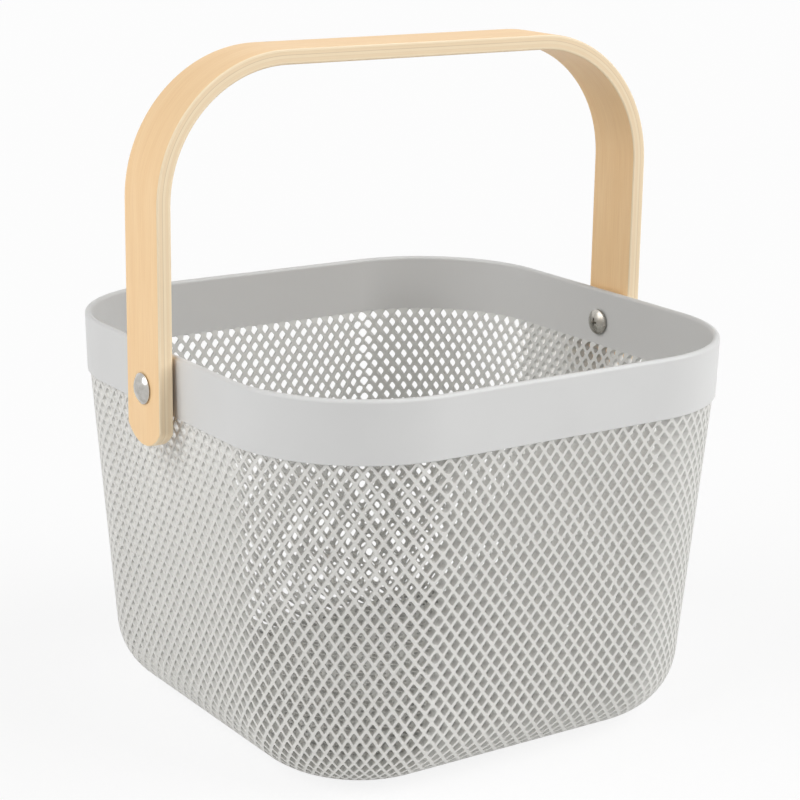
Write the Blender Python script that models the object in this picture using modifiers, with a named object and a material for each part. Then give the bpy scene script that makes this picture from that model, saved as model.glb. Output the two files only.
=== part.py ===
"""Square perforated steel basket with a smooth rim band and a swinging bent-plywood handle.

Units are metres, +Z is up, X is the handle's pivot axis, and the origin is on the ground
under the middle of the base. A coarse grid of diamond openings, more than three times the
size of the real ones, stands for the sheet's fine mesh.
"""
import math

import bmesh
import bpy
from mathutils import Matrix, Vector

# Body, measured over the outside of the rim band
rim_width = 0.250
rim_depth = 0.250
rim_corner_radius = 0.066
body_height = 0.184

# Folded rim band: it laps the sheet's upper edge inside and outside
band_height = 0.028
band_lean = 0.028
band_sheet = 0.0009
band_lower_chamfer = 0.0005

# Perforated tub: leans in more than the band, and turns under into a flat base
tub_sheet = 0.0009
tub_lean = 0.076
base_corner_radius = 0.056
base_edge_radius = 0.033

# Grid of diamond openings: strands between them, plain borders above and below them on the walls
strand_width = 0.006
plain_border = 0.003
base_column_pitch = 0.0236
base_row_pitch = 0.030

# Bent plywood handle
handle_width = 0.030
handle_thickness = 0.007
handle_top = 0.3135
handle_bend_radius = 0.0575
leg_clearance = 0.0015
leg_end_rise = 0.008
leg_end_drop = 0.026

# Pivots: a dome-headed sleeve nut outside, a cross-recess screw inside, a washer between
pivot_drop = 0.016
sleeve_diameter = 0.006
sleeve_floor = 0.003
nut_head_diameter = 0.014
nut_head_height = 0.003
nut_head_edge = 0.0008
screw_diameter = 0.004
screw_head_diameter = 0.0125
screw_head_height = 0.0034
screw_head_edge = 0.0012
recess_span = 0.0062
recess_arm = 0.0011
recess_depth = 0.0018
washer_diameter = 0.013

# Gaps between pieces
seat_gap = 0.0003
bore_clearance = 0.0003
running_clearance = 0.0001
thread_clearance = 0.0003

# Openings along each straight side, each corner, down the walls, and across the base
side_columns = 5
corner_columns = 4
wall_rows = 7
base_columns = 6
base_rows = 5

# How finely the round stretches are drawn
corner_steps = 12
edge_steps = 7
lip_steps = 8
bend_steps = 14
end_steps = 12
dome_steps = 6
round_steps = 40

# Sizes that follow from the ones above
half_width = rim_width / 2
half_depth = rim_depth / 2
slot_width = tub_sheet + 2 * seat_gap
band_total = 2 * band_sheet + slot_width
tub_setback = band_sheet + seat_gap
band_bottom = body_height - band_height
tub_top = body_height - band_total / 2 - seat_gap
pivot_height = body_height - pivot_drop
leg_inner = half_width + leg_clearance
leg_outer = leg_inner + handle_thickness
crossbar_under = handle_top - handle_thickness

# Working distances of the modelling itself
cutter_margin = 0.010
weld_distance = 0.000001


def linear_colour(hex_code):
    """Linear RGBA of an sRGB hex colour."""
    channels = [int(hex_code[i:i + 2], 16) / 255 for i in (0, 2, 4)]
    return [c / 12.92 if c <= 0.04045 else ((c + 0.055) / 1.055) ** 2.4 for c in channels] + [1.0]


def finish(name, hex_code, roughness, metallic=0.0):
    """Plain Principled material."""
    material = bpy.data.materials.new(name)
    material.use_nodes = True
    shader = material.node_tree.nodes["Principled BSDF"]
    shader.inputs["Base Color"].default_value = linear_colour(hex_code)
    shader.inputs["Roughness"].default_value = roughness
    shader.inputs["Metallic"].default_value = metallic
    material.diffuse_color = linear_colour(hex_code)
    return material


def new_collection(name):
    """Collection linked into the scene."""
    collection = bpy.data.collections.new(name)
    bpy.context.scene.collection.children.link(collection)
    return collection


def place(name, data, material=None, location=(0, 0, 0), rotation=(0, 0, 0)):
    """Object in the parts collection, or among the cutters if it has no material."""
    piece = bpy.data.objects.new(name, data)
    piece.location = location
    piece.rotation_euler = rotation
    if material is None:
        cutters.objects.link(piece)
        piece.hide_render = True
        piece.display_type = 'WIRE'
    else:
        parts.objects.link(piece)
        if not data.materials:
            data.materials.append(material)
    return piece


def smooth(mesh, angle=math.radians(30)):
    """Shade a mesh smooth up to the given edge angle."""
    mesh.shade_smooth()
    mesh.set_sharp_from_angle(angle=angle)
    return mesh


def evaluated_mesh(piece, name):
    """Welded mesh of an object with its modifiers, in the object's own frame."""
    bpy.context.view_layer.update()
    result = bpy.data.meshes.new_from_object(piece.evaluated_get(bpy.context.evaluated_depsgraph_get()))
    result.name = name
    welded = bmesh.new()
    welded.from_mesh(result)
    bmesh.ops.remove_doubles(welded, verts=welded.verts, dist=weld_distance)
    bmesh.ops.recalc_face_normals(welded, faces=welded.faces)
    welded.to_mesh(result)
    welded.free()
    bpy.data.objects.remove(piece)
    return result


def cut(piece, cutter, operation='DIFFERENCE'):
    """Boolean modifier on a piece."""
    modifier = piece.modifiers.new(cutter.name, 'BOOLEAN')
    modifier.operation = operation
    modifier.object = cutter
    modifier.solver = 'EXACT'


def rounded_square(half_x, half_y, radius, height):
    """Points round a rounded square, anticlockwise from +X."""
    points = []
    for quarter, (sign_x, sign_y) in enumerate(((1, 1), (-1, 1), (-1, -1), (1, -1))):
        centre = Vector((sign_x * (half_x - radius), sign_y * (half_y - radius), height))
        for step in range(corner_steps + 1):
            angle = math.pi / 2 * (quarter + step / corner_steps)
            points.append(centre + radius * Vector((math.cos(angle), math.sin(angle), 0)))
    return points


def staggered_ring(half_x, half_y, radius, height, shift):
    """Points round a rounded square, one for each column of openings, shifted by part of a column."""
    points = []
    for quarter in range(4):
        reach, side = (half_x, half_y) if quarter % 2 == 0 else (half_y, half_x)
        straight = side - radius
        local = []
        for column in range(side_columns):
            local.append((reach, straight * (2 * (column + shift) / side_columns - 1)))
        for column in range(corner_columns):
            angle = math.pi / 2 * (column + shift) / corner_columns
            local.append((reach - radius + radius * math.cos(angle), straight + radius * math.sin(angle)))
        spin = Matrix.Rotation(quarter * math.pi / 2, 3, 'Z')
        points += [spin @ Vector((x, y, height)) for x, y in local]
    return points


def add_rings(surface, rings):
    """Loops of vertices with rows of faces between them, from the first ring down."""
    loops = [[surface.verts.new(point) for point in ring] for ring in rings]
    for upper, lower in zip(loops, loops[1:]):
        for i in range(len(upper)):
            j = (i + 1) % len(upper)
            surface.faces.new((upper[i], lower[i], lower[j], upper[j]))
    return loops


def add_diamonds(surface, rings):
    """Diamond faces between staggered rings, the first of them unshifted; gives loops and diamonds."""
    loops = [[surface.verts.new(point) for point in ring] for ring in rings]
    count = len(loops[0])
    diamonds = []
    for level, loop in enumerate(loops):
        for i in range(count):
            left, right = loop[i], loop[(i + 1) % count]
            between = (i + level % 2) % count
            corners = [right, left]
            if level > 0:
                corners.insert(1, loops[level - 1][between])
            if level < len(loops) - 1:
                corners.append(loops[level + 1][between])
            face = surface.faces.new(corners)
            if len(corners) == 4:
                diamonds.append(face)
    return loops, diamonds


def bridge(surface, upper, lower):
    """Faces between two loops of vertices that need not match in number."""
    edges = [surface.edges.get((loop[i - 1], loop[i])) or surface.edges.new((loop[i - 1], loop[i]))
             for loop in (upper, lower) for i in range(len(loop))]
    bmesh.ops.bridge_loops(surface, edges=edges)


def filled_outline(name, points, half_thickness):
    """Solid of a flat outline drawn in local XY, as thick as twice the half thickness."""
    curve = bpy.data.curves.new(name, 'CURVE')
    curve.dimensions = '2D'
    curve.fill_mode = 'BOTH'
    curve.extrude = half_thickness
    spline = curve.splines.new('POLY')
    spline.points.add(len(points) - 1)
    spline.use_cyclic_u = True
    for target, point in zip(spline.points, points):
        target.co = (point[0], point[1], 0, 1)
    return evaluated_mesh(place(name + "_outline", curve), name)


def turned(name, profile, closed=False):
    """Solid turned about Z from a profile of (radius, height) points, outer side top to bottom."""
    mesh = bpy.data.meshes.new(name)
    edges = [(i, i + 1) for i in range(len(profile) - 1)]
    if closed:
        edges.append((len(profile) - 1, 0))
    mesh.from_pydata([(radius, 0, height) for radius, height in profile], edges, [])
    piece = place(name + "_profile", mesh)
    screw = piece.modifiers.new("turn", 'SCREW')
    screw.steps = round_steps
    screw.render_steps = round_steps
    screw.use_merge_vertices = True
    screw.merge_threshold = weld_distance
    return evaluated_mesh(piece, name)


def arc(centre, radius, start, end, steps):
    """Points (x, y) along an arc, angles in degrees."""
    angles = [math.radians(start + (end - start) * i / steps) for i in range(steps + 1)]
    return [(centre[0] + radius * math.cos(a), centre[1] + radius * math.sin(a)) for a in angles]


def dome(radius, edge, height):
    """Profile of a domed head from its top on the axis down to the top of its edge."""
    rise = height - edge
    sphere = (radius ** 2 + rise ** 2) / (2 * rise)
    half_angle = math.degrees(math.asin(radius / sphere))
    points = arc((0, height - sphere), sphere, 90, 90 - half_angle, dome_steps)
    return [(0, height)] + points[1:]


def pivot_rod(name, radius):
    """Cutter across the whole basket along the pivot axis."""
    reach = 2 * (leg_outer + cutter_margin)
    bpy.ops.mesh.primitive_cylinder_add(vertices=round_steps, radius=radius, depth=reach)
    rod = bpy.context.object
    rod.data.transform(Matrix.Rotation(math.pi / 2, 4, 'Y'))
    mesh = rod.data
    bpy.data.objects.remove(rod)
    return place(name, mesh, location=(0, 0, pivot_height))


def tub_rings():
    """Outside of the tub: collar inside the band, staggered rings of the wall, round base edge."""
    half_at_top = [half - tub_setback - band_lean * (body_height - tub_top)
                   for half in (half_width, half_depth)]
    half_at_band = [half - tub_setback - band_lean * band_height for half in (half_width, half_depth)]
    radius_at_band = rim_corner_radius - tub_setback - band_lean * band_height
    radius_at_top = radius_at_band + half_at_top[0] - half_at_band[0]
    collar = [rounded_square(*half_at_top, radius_at_top, tub_top),
              rounded_square(*half_at_band, radius_at_band, band_bottom)]

    lean_angle = math.atan(tub_lean)
    edge_top = base_edge_radius * (1 - math.sin(lean_angle))
    radius_slope = (radius_at_band - base_corner_radius) / band_bottom
    wall = []
    for level in range(wall_rows + 2):
        drop = plain_border + (band_bottom - edge_top - 2 * plain_border) * level / (wall_rows + 1)
        halves = [half - tub_lean * drop for half in half_at_band]
        radius = radius_at_band - radius_slope * drop
        wall.append(staggered_ring(*halves, radius, band_bottom - drop, level % 2 / 2))

    wall_inset = tub_lean * (band_bottom - edge_top)
    edge_radius = radius_at_band - radius_slope * (band_bottom - edge_top)
    edge = []
    for step in range(edge_steps + 1):
        angle = lean_angle + (math.pi / 2 - lean_angle) * step / edge_steps
        inset = base_edge_radius * (math.cos(lean_angle) - math.cos(angle))
        halves = [half - wall_inset - inset for half in half_at_band]
        edge.append(rounded_square(*halves, edge_radius - inset, base_edge_radius * (1 - math.sin(angle))))
    return collar, wall, edge


def base_openings(name, columns, rows):
    """Cutter with a block of diamond prisms through the middle of the base."""
    cell = Vector((base_column_pitch, base_row_pitch))
    open_share = 1 - strand_width * cell.length / (cell.x * cell.y)
    prism = bmesh.new()
    shape = Matrix.Diagonal((cell.x * open_share / 2, cell.y * open_share / 2, cutter_margin, 1))
    bmesh.ops.create_cone(prism, cap_ends=True, segments=4, radius1=1, radius2=1, depth=1, matrix=shape)
    mesh = bpy.data.meshes.new(name)
    prism.to_mesh(mesh)
    prism.free()
    first = (-(columns - 1) / 2 * cell.x, -(rows - 1) / 2 * cell.y, 0)
    block = place(name, mesh, location=first)
    for label, count, offset in (("columns", columns, (cell.x, 0, 0)), ("rows", rows, (0, cell.y, 0))):
        array = block.modifiers.new(label, 'ARRAY')
        array.count = count
        array.use_relative_offset = False
        array.use_constant_offset = True
        array.constant_offset_displace = offset
    return block


def make_tub():
    """Perforated sheet tub, pressed from one sheet, drawn with a coarse grid of openings."""
    collar_rings, wall_rings, edge_rings = tub_rings()
    surface = bmesh.new()
    collar = add_rings(surface, collar_rings)
    wall, diamonds = add_diamonds(surface, wall_rings)
    edge = add_rings(surface, edge_rings)
    bridge(surface, collar[-1], wall[0])
    bridge(surface, wall[-1], edge[0])
    surface.faces.new(list(reversed(edge[-1])))
    bmesh.ops.recalc_face_normals(surface, faces=surface.faces)
    bmesh.ops.inset_individual(surface, faces=diamonds, thickness=strand_width / 2, use_even_offset=True)
    bmesh.ops.delete(surface, geom=diamonds, context='FACES')
    mesh = bpy.data.meshes.new("mesh_tub")
    surface.to_mesh(mesh)
    surface.free()
    tub = place("mesh_tub", mesh, finish("powder_coated_mesh", "DAD8D3", 0.45))
    sheet = tub.modifiers.new("sheet", 'SOLIDIFY')
    sheet.thickness = tub_sheet
    sheet.offset = -1
    sheet.use_even_offset = True
    cut(tub, pivot_rod("tub_bolt_holes", sleeve_diameter / 2 + bore_clearance))
    cut(tub, base_openings("base_openings", base_columns, base_rows))
    cut(tub, base_openings("staggered_base_openings", base_columns - 1, base_rows - 1))
    smooth(tub.data)


def band_section():
    """Section of the folded band: +X faces out of the basket and +Y is up, from its top outside."""
    lip_radius = band_total / 2
    lip_centre = (-lip_radius - band_lean * lip_radius, -lip_radius)
    chamfer = band_lower_chamfer

    def at(inset, height):
        """Point the given inset in from the leaning outside face, at a height below the rim."""
        return (-inset - band_lean * height, -height)

    points = [at(band_sheet, band_height), at(band_sheet, lip_radius)]
    points += arc(lip_centre, slot_width / 2, 0, 180, lip_steps)[1:]
    points += [at(band_total - band_sheet, band_height), at(band_total, band_height)]
    points += arc(lip_centre, lip_radius, 180, 0, lip_steps)
    points += [at(0, band_height - chamfer), at(chamfer, band_height)]
    return points


def make_band():
    """Smooth sheet-steel band folded over the tub's upper edge."""
    section_curve = bpy.data.curves.new("band_section", 'CURVE')
    section_curve.dimensions = '2D'
    outline = section_curve.splines.new('POLY')
    points = band_section()
    outline.points.add(len(points) - 1)
    outline.use_cyclic_u = True
    for target, point in zip(outline.points, points):
        target.co = (*point, 0, 1)
    section = place("band_section", section_curve)
    path = bpy.data.curves.new("band_path", 'CURVE')
    path.dimensions = '3D'
    path.twist_mode = 'Z_UP'
    path.bevel_mode = 'OBJECT'
    path.bevel_object = section
    route = path.splines.new('POLY')
    route_points = rounded_square(half_width, half_depth, rim_corner_radius, body_height)
    route.points.add(len(route_points) - 1)
    route.use_cyclic_u = True
    for target, point in zip(route.points, route_points):
        target.co = (*point, 1)
    mesh = evaluated_mesh(place("band_path", path), "rim_band")
    band = place("rim_band", mesh, finish("powder_coated_band", "D6D6D4", 0.42))
    cut(band, pivot_rod("band_bolt_holes", sleeve_diameter / 2 + bore_clearance))
    smooth(mesh)


def bow_outline():
    """Front view of the bent strip in X and Z, measured from the pivot axis."""
    bend_height = crossbar_under - handle_bend_radius - pivot_height
    bend_x = leg_inner - handle_bend_radius
    foot = -leg_end_drop - cutter_margin
    inner, outer = handle_bend_radius, handle_bend_radius + handle_thickness
    points = [(leg_outer, foot)] + arc((bend_x, bend_height), outer, 0, 90, bend_steps)
    points += arc((-bend_x, bend_height), outer, 90, 180, bend_steps) + [(-leg_outer, foot)]
    points += [(-leg_inner, foot)] + arc((-bend_x, bend_height), inner, 180, 90, bend_steps)
    points += arc((bend_x, bend_height), inner, 90, 0, bend_steps) + [(leg_inner, foot)]
    return points


def leg_outline():
    """Side view of the strip in Y and Z: straight edges and arched lower ends."""
    half = handle_width / 2
    head = handle_top - pivot_height + cutter_margin
    radius = (half ** 2 + leg_end_rise ** 2) / (2 * leg_end_rise)
    spread = math.degrees(math.asin(half / radius))
    end = arc((0, radius - leg_end_drop), radius, -90 - spread, -90 + spread, end_steps)
    return [(half, head), (-half, head)] + end


def make_handle():
    """Bow handle of bent birch plywood; its origin is on the pivot axis."""
    upright = Matrix.Rotation(math.pi / 2, 4, 'X')
    strip = filled_outline("bow_handle", bow_outline(), handle_width / 2 + cutter_margin)
    strip.transform(upright)
    side = filled_outline("leg_shape", leg_outline(), leg_outer + cutter_margin)
    side.transform(Matrix.Rotation(math.pi / 2, 4, 'Z') @ upright)
    pivot = (0, 0, pivot_height)
    handle = place("bow_handle", strip, finish("birch_plywood", "E9C48F", 0.5), location=pivot)
    cut(handle, place("leg_shape", side, location=pivot), 'INTERSECT')
    cut(handle, pivot_rod("handle_bores", sleeve_diameter / 2 + running_clearance))
    smooth(strip)


def make_nuts(steel):
    """Sleeve nuts: the dome lies outside each leg and the sleeve is the handle's journal."""
    head_radius = nut_head_diameter / 2
    sleeve_length = leg_outer + seat_gap - sleeve_end
    bore = screw_diameter / 2 + thread_clearance
    bore_end = -seat_gap - sleeve_floor
    profile = dome(head_radius, nut_head_edge, nut_head_height)
    profile += [(head_radius, 0), (sleeve_diameter / 2, 0), (sleeve_diameter / 2, -sleeve_length)]
    profile += [(bore, -sleeve_length), (bore, bore_end), (0, bore_end)]
    mesh = smooth(turned("sleeve_nut", profile))
    for side, name in ((-1, "left_sleeve_nut"), (1, "right_sleeve_nut")):
        place(name, mesh, steel, location=(side * (leg_outer + seat_gap), 0, pivot_height),
              rotation=(0, side * math.pi / 2, 0))


def make_screws(steel):
    """Pan-head screws with a cross recess, driven into the sleeves from inside the basket."""
    head_radius = screw_head_diameter / 2
    shank_end = -(leg_outer - sleeve_floor - seat_gap - screw_seat)
    profile = dome(head_radius, screw_head_edge, screw_head_height)
    profile += [(head_radius, 0), (screw_diameter / 2, 0), (screw_diameter / 2, shank_end), (0, shank_end)]
    screw = place("plain_screw", turned("plain_screw", profile))
    arms = {"recess_across": (recess_span, recess_arm), "recess_down": (recess_arm, recess_span)}
    for name, size in arms.items():
        arm = bmesh.new()
        bmesh.ops.create_cube(arm, size=1.0, matrix=Matrix.Diagonal((*size, 2 * recess_depth, 1)))
        mesh = bpy.data.meshes.new(name)
        arm.to_mesh(mesh)
        arm.free()
        cut(screw, place(name, mesh, location=(0, 0, screw_head_height)))
    mesh = smooth(evaluated_mesh(screw, "pivot_screw"))
    for side, name in ((-1, "left_pivot_screw"), (1, "right_pivot_screw")):
        place(name, mesh, steel, location=(side * screw_seat, 0, pivot_height),
              rotation=(0, -side * math.pi / 2, 0))


def make_washers(steel):
    """Spacer washers that hold the legs clear of the band."""
    washer_radius = washer_diameter / 2
    band_face = half_width - band_lean * (pivot_drop - washer_radius)
    inner_face = band_face + seat_gap
    thickness = leg_inner - seat_gap - inner_face
    bore = sleeve_diameter / 2 + bore_clearance
    profile = [(washer_radius, thickness), (washer_radius, 0), (bore, 0), (bore, thickness)]
    mesh = smooth(turned("spacer_washer", profile, closed=True))
    for side, name in ((-1, "left_spacer_washer"), (1, "right_spacer_washer")):
        place(name, mesh, steel, location=(side * inner_face, 0, pivot_height),
              rotation=(0, side * math.pi / 2, 0))


# Inside face of the band at the lower side of the screw head, where the leaning wall comes closest
screw_seat = half_width - band_total - band_lean * (pivot_drop + screw_head_diameter / 2) - seat_gap
sleeve_end = screw_seat + seat_gap

for leftover in list(bpy.data.objects):
    bpy.data.objects.remove(leftover)
parts = new_collection("mesh_basket")
cutters = new_collection("cutters")
make_tub()
make_band()
make_handle()
polished_steel = finish("polished_steel", "C9C8C5", 0.18, 1.0)
make_nuts(polished_steel)
make_screws(polished_steel)
make_washers(finish("zinc_plated_steel", "A9A8A5", 0.35, 1.0))
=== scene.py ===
"""Square perforated steel basket with a smooth rim band and a bent plywood handle."""

import math

import bmesh
import bpy
import numpy as np
from mathutils import Matrix, Vector, geometry


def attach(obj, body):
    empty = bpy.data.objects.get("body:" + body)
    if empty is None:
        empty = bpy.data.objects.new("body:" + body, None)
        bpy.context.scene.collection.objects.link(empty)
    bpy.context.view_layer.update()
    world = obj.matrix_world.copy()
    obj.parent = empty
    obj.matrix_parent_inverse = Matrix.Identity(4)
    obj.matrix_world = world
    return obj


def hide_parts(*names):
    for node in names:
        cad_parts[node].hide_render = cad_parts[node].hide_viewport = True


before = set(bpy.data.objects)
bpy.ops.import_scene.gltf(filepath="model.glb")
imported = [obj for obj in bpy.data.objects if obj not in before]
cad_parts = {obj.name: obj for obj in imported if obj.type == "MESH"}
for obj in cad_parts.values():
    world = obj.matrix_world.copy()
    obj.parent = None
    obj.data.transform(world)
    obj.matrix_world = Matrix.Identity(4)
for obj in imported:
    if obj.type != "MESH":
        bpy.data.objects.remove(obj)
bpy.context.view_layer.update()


# Perforated tub
# One sheet of steel with diamond holes, pressed into a tub that leans in and turns under into a
# flat base, and thickly powder-coated pale warm grey. The rim band holds its thinned upper edge.

# Sizes here and below are in millimetres, with heights from the ground
MM = 0.001
BAND_FOOT = 156.0
SHEET_TOP = 182.08
HALF_AT_BAND = 123.016
CORNER_AT_BAND = 64.016
BAND_LEAN = 0.028
WALL_LEAN = 0.076
CORNER_LEAN = 0.0514
BASE_EDGE_RADIUS = 33.0

# The sheet is drawn as deep as the holes look in the photograph, and 0.9 mm thick inside the band.
# It thickens between these two ways down from the band's foot
SHEET = 2.6
SHEET_IN_BAND = 0.9
THICKENING = (-0.3, 1.2)

# The pattern has 17 upright columns of diamonds on each face and 16 round each corner. Those of a
# corner are evenly spaced as seen along its diagonal, and close up towards the base
COLUMN_PITCH = 6.59
ROW_PITCH = 4.3225
FIRST_ROW = 0.18
ROWS = 41
FACE_COLUMNS = 17
CORNER_COLUMNS = 16
SIDE_COLUMNS = FACE_COLUMNS + CORNER_COLUMNS
COLUMNS = 4 * SIDE_COLUMNS

# The rows run this much lower towards the corner between +X and +Y, and over the last rows they
# come level again. The power says how slowly the drop starts on the way round
ROW_DROP = 2.6
ROW_DROP_POWER = 1.5
LEVELLING_ROWS = 12

# The strands are narrow outside and widen inwards, so each hole has an outer edge, a shoulder
# just below it and a smaller, rounder inner edge. Each gives its depth as a share of the sheet,
# the strand's width and the rounding of the hole's corners. It is a ring of twelve points: three
# at the right corner, upwards, and then three at the top, the left and the bottom
HOLE_LEVELS = ((0.0, 1.30, 0.45), (0.05, 1.42, 0.50), (1.0, 1.55, 1.05))
HOLE_RING = 12

# Strands are thinner round the corners and at the seams, and where the columns are closer than the
# full pitch, down to the least share. Seam holes get more rounding
CORNER_STRAND = 0.82
SEAM_STRAND = 0.7
SEAM_CORNER = 0.6
FULL_PITCH = 5.6
LEAST_STRAND = 0.4

# How far the holes lean to one side by their depth, and the columns over which those of a corner
# come to follow its diagonal
HOLE_LEAN = 0.25
SKEW_COLUMNS = 1.5

# Plain parts: the collar inside the band, the pivot holes in it with the patch round each, in half
# columns to either side, and the ring between the wall's holes and the base's
COLLAR_FOOT = -4.5
COLLAR_MIDDLE = -19.5
BOLT_DOWN = -12.0
BOLT_HOLE_RADIUS = 3.3
BOLT_HOLE_POINTS = 24
BOLT_PATCH = 2
BASE_RING_DOWN = 177.4
BASE_RING_WIDTH = 1.6

band_angle = math.atan(BAND_LEAN)
wall_angle = math.atan(WALL_LEAN)
wall_length = (BAND_FOOT - BASE_EDGE_RADIUS * (1 - math.sin(wall_angle))) / math.cos(wall_angle)
edge_length = BASE_EDGE_RADIUS * (math.pi / 2 - wall_angle)
collar_top = (BAND_FOOT - SHEET_TOP) / math.cos(band_angle)
seam_distance = COLUMN_PITCH * FACE_COLUMNS / 2
diagonal = math.sqrt(0.5)


def sheet_profile(down):
    """Half width, corner radius, height and lean of the sheet's outer face, by the way down it."""
    inside_band = np.minimum(down, 0)
    drop = np.clip(down, 0, wall_length) * math.cos(wall_angle)
    turn = wall_angle + np.clip(down - wall_length, 0, edge_length) / BASE_EDGE_RADIUS
    under = np.maximum(down - wall_length - edge_length, 0)
    inset = inside_band * math.sin(band_angle) + under
    inset = inset + BASE_EDGE_RADIUS * (math.cos(wall_angle) - np.cos(turn))
    half = HALF_AT_BAND - WALL_LEAN * drop - inset
    corner = CORNER_AT_BAND - CORNER_LEAN * drop - inset
    height = BAND_FOOT - inside_band * math.cos(band_angle) - drop
    height = height - BASE_EDGE_RADIUS * (np.sin(turn) - math.sin(wall_angle))
    return half, corner, height, np.where(down < 0, band_angle, turn)


def corner_pitch(down):
    """Spacing of a corner's columns as seen along its diagonal, by the way down."""
    half, _, _, _ = sheet_profile(down)
    return 2 * diagonal * (half - seam_distance) / CORNER_COLUMNS


def way_round(past_seam, down):
    """Way along the sheet past a corner's first seam, and the turn there from the diagonal."""
    half, corner, _, _ = sheet_profile(down)
    across = (past_seam - CORNER_COLUMNS / 2) * corner_pitch(down)
    on_round = np.clip(across, -diagonal * corner, diagonal * corner)
    turn = np.arcsin(on_round / corner)
    middle = half - corner - seam_distance + math.pi / 4 * corner
    return middle + turn * corner + (across - on_round) / diagonal, turn


def sheet_points(column, down, depth):
    """Places on the sheet by column, counted from the middle of +X, way down, and depth in it."""
    column, down, depth = np.broadcast_arrays(column, down, depth)
    half, corner, height, lean = sheet_profile(down)
    flat = half - corner
    side = np.floor((column + FACE_COLUMNS / 2) / SIDE_COLUMNS)
    on_face = np.minimum(column - side * SIDE_COLUMNS, FACE_COLUMNS / 2)
    past_seam = column - side * SIDE_COLUMNS - on_face
    along = on_face * COLUMN_PITCH + way_round(past_seam, down)[0]
    round_corner = np.clip((np.abs(along) - flat) / corner, 0, math.pi / 2)
    past_corner = np.maximum(np.abs(along) - flat - math.pi / 2 * corner, 0)
    radius = corner - depth * np.cos(lean)
    out = flat + radius * np.cos(round_corner) - past_corner
    across = np.sign(along) * (np.minimum(np.abs(along), flat) + radius * np.sin(round_corner))
    spin = side * math.pi / 2
    x = out * np.cos(spin) - across * np.sin(spin)
    y = out * np.sin(spin) + across * np.cos(spin)
    return np.stack((x, y, height + depth * np.sin(lean)), -1) * MM


def thickness(down):
    """Thickness of the sheet, which thins where it goes up into the band."""
    return np.interp(down, THICKENING, (SHEET_IN_BAND, SHEET))


def hole_outlines(pitch, strand, rounding):
    """Points round each rounded diamond, anticlockwise from the lower right, from its middle."""
    row_pitch = 2 * ROW_PITCH
    share = 1 - strand * np.hypot(pitch, row_pitch) / (pitch * row_pitch)
    wide, high = share * pitch / 2, share * row_pitch / 2
    side = np.hypot(wide, high)
    right, top = wide - rounding * side / high, high - rounding * side / wide
    to_x, to_y = rounding * high / side, rounding * wide / side
    x = np.stack((right + to_x, right + rounding, right + to_x, to_x, 0 * side, -to_x), -1)
    y = np.stack((-to_y, 0 * side, to_y, top + to_y, top + rounding, top + to_y), -1)
    return np.stack((np.concatenate((x, -x), -1), np.concatenate((y, -y), -1)), -1)


# Holes of the wall. Those of the seam columns, where a face meets a corner, are rounder
row, number = np.meshgrid(np.arange(ROWS), np.arange(COLUMNS), indexing="ij")
hole_column = (number + row % 2 / 2).ravel()
far_side = np.cos((number + row % 2 / 2) / COLUMNS * 2 * math.pi - math.pi / 4) / 2 + 0.5
row_drop = ROW_DROP * far_side ** ROW_DROP_POWER * np.minimum((ROWS - 1 - row) / LEVELLING_ROWS, 1)
hole_down = (FIRST_ROW + ROW_PITCH * row + row_drop).ravel()
from_seam = (hole_column + FACE_COLUMNS / 2) % SIDE_COLUMNS
at_seam = (from_seam == 0) | (from_seam == FACE_COLUMNS)
hole_pitch = np.where(from_seam < FACE_COLUMNS, COLUMN_PITCH, corner_pitch(hole_down))
hole_pitch = np.where(at_seam, (COLUMN_PITCH + corner_pitch(hole_down)) / 2, hole_pitch)
slimness = np.minimum(hole_pitch / FULL_PITCH, 1)

# All holes lean a little to the same side of the tub. Round a corner they are pressed through along
# the corner's diagonal as well, not square to the sheet
off_diagonal = way_round(np.maximum(from_seam - FACE_COLUMNS, 0), hole_down)[1]
in_corner = np.minimum(from_seam - FACE_COLUMNS, SIDE_COLUMNS - from_seam)
skew_share = np.clip(in_corner / SKEW_COLUMNS, 0, 1)
hole_side = np.floor((hole_column + FACE_COLUMNS / 2) / SIDE_COLUMNS)
facing = (hole_side + 0.5) * math.pi / 2 + off_diagonal
one_side = HOLE_LEAN * np.clip(np.cos(facing) + np.sin(facing), -1, 1)
skew = (np.sin(off_diagonal) * skew_share + one_side) * slimness
strand_share = LEAST_STRAND + (1 - LEAST_STRAND) * slimness
strand_share = strand_share * np.where(from_seam > FACE_COLUMNS, CORNER_STRAND, 1)
strand_share = strand_share * np.where(at_seam, SEAM_STRAND, 1)
wall_levels = []
for share, strand, rounding in HOLE_LEVELS:
    rounding = (rounding + SEAM_CORNER * at_seam) * slimness
    shape = hole_outlines(hole_pitch, strand * strand_share, rounding)
    across = shape[..., 0] + (skew * share * SHEET)[:, None]
    column = hole_column[:, None] + across / hole_pitch[:, None]
    down = hole_down[:, None] - shape[..., 1]
    wall_levels.append(sheet_points(column, down, share * thickness(down)).reshape(-1, 3))

# Holes of the flat base: the same diamonds, clear of the ring where the wall's pattern ends
ring_half, ring_corner, _, _ = sheet_profile(BASE_RING_DOWN)
reach = int(ring_half / ROW_PITCH) + 1
base_shapes = [hole_outlines(COLUMN_PITCH, strand, rounding) for _, strand, rounding in HOLE_LEVELS]
base_middles = []
for row in range(-reach, reach + 1):
    for number in range(-reach, reach + 1):
        middle = np.array((COLUMN_PITCH * (number + row % 2 / 2), ROW_PITCH * row))
        past_flat = np.abs(middle + base_shapes[0]) - (ring_half - ring_corner)
        outward = np.where(past_flat.min(1) > 0, np.hypot(*past_flat.T), past_flat.max(1))
        if outward.max() < ring_corner - BASE_RING_WIDTH:
            base_middles.append(middle)
base_middles = np.array(base_middles)[:, None]


def flat_points(spots, height):
    """Places of spots of the base at one height."""
    spots = spots.reshape(-1, 2)
    return np.column_stack((spots, np.full(len(spots), height))) * MM


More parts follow.
